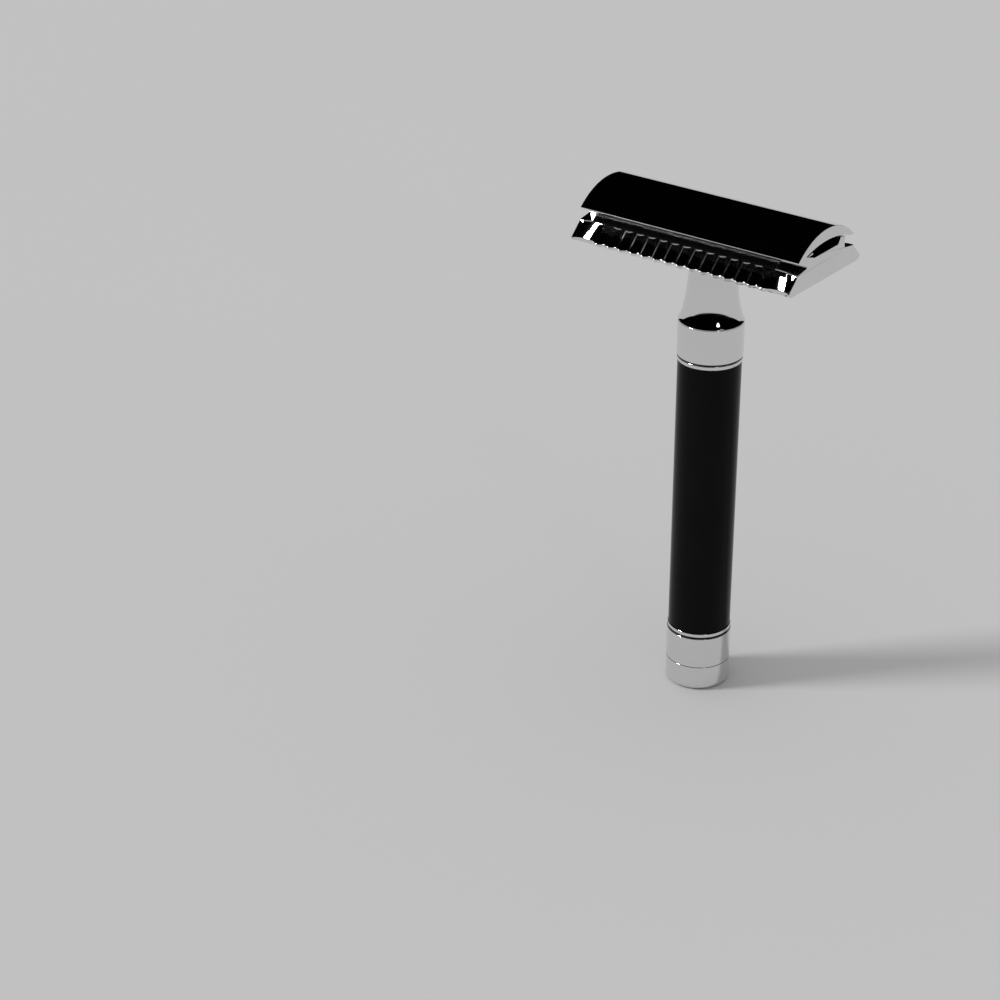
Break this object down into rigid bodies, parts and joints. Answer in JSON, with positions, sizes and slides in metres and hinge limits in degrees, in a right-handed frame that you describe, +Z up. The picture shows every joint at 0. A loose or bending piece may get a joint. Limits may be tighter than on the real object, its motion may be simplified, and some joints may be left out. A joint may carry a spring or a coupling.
{
  "type": "double-edge safety razor",
  "caption": "Double-edge safety razor: chromed cap and scalloped safety bars with the blade between them, chromed neck and collar, and a gloss black handle.",
  "frame": {"origin": "middle of the flat end of the handle that the razor stands on", "axes": "+Z up along the handle to the head, X along the blade's edges, Y across the head"},
  "size_m": [0.0446, 0.0238, 0.095],
  "materials": {
    "chrome_head": "polished chrome plate",
    "chrome_fittings": "polished chrome plate",
    "blade_steel": "fine ground stainless strip",
    "rod_steel": "turned steel",
    "brass": "turned brass",
    "black_resin": "polished black resin",
    "black_rubber": "matt black"
  },
  "bodies": {
    "handle": {"neck": "chrome_fittings", "neck_bush": "brass", "collar": "chrome_fittings", "upper_seal": "black_rubber", "upper_trim_ring": "chrome_fittings", "grip_sleeve": "black_resin", "core_rod": "rod_steel", "lower_trim_ring": "chrome_fittings", "lower_seal": "black_rubber", "lower_collar": "chrome_fittings", "clamp_washer": "rod_steel", "clamp_nut": "rod_steel", "end_cap": "chrome_fittings"},
    "plate": {"base_plate": "chrome_head"},
    "blade": {"razor_blade": "blade_steel"},
    "cap": {"top_cap": "chrome_head", "cap_stud": "chrome_head", "locating_post_left": "chrome_head", "locating_post_right": "chrome_head"}
  },
  "joints": [
    {"name": "head_turn", "type": "hinge", "parent": "handle", "child": "plate", "pos_m": [0, 0, 0.08496], "axis": [0, 0, 1], "range_deg": [0, 2880]},
    {"name": "cap_lift", "type": "slide", "parent": "plate", "child": "cap", "axis": [0, 0, 1], "range_m": [0, 0.0064]},
    {"name": "blade_lift", "type": "slide", "parent": "plate", "child": "blade", "axis": [0, 0, 1], "range_m": [0, 0.0032]}
  ],
  "couplings": [
    {"joint": "cap_lift", "follows": "head_turn", "m_per_rad": 0.00012732},
    {"joint": "blade_lift", "follows": "head_turn", "m_per_rad": 0.00006366}
  ]
}
